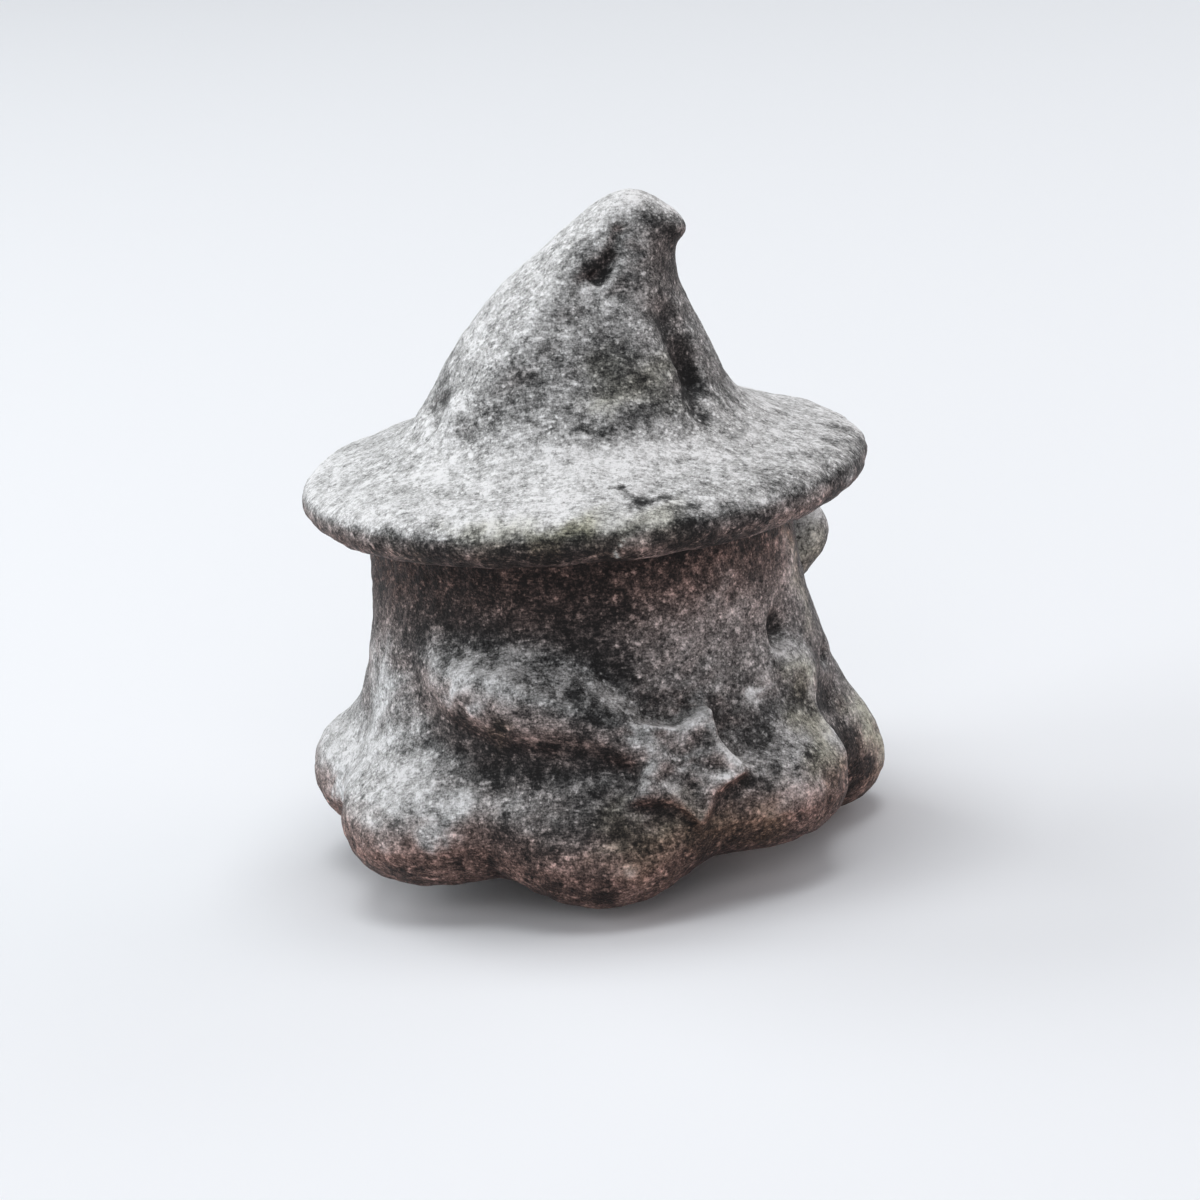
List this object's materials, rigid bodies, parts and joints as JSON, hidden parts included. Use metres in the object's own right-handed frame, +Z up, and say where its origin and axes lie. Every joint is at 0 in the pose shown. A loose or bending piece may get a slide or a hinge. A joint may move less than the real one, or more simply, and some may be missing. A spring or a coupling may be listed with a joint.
{
  "type": "ghost figurine carved in stone",
  "caption": "Palm-sized ghost in a bent wide-brimmed hat, holding a star wand, carved from one speckled serpentine pebble; stands as a small ornament.",
  "frame": {"origin": "middle of the flat underside, on the robe's axis, at the lowest level", "axes": "+Z up; -Y is the way the ghost looks; +X is toward its raised left hand"},
  "size_m": [0.0321, 0.0333, 0.0376],
  "materials": {
    "serpentine": "unpolished, matte, speckled grey-green with chalky wear"
  },
  "bodies": {
    "root": {"ghost": "serpentine"}
  },
  "joints": []
}
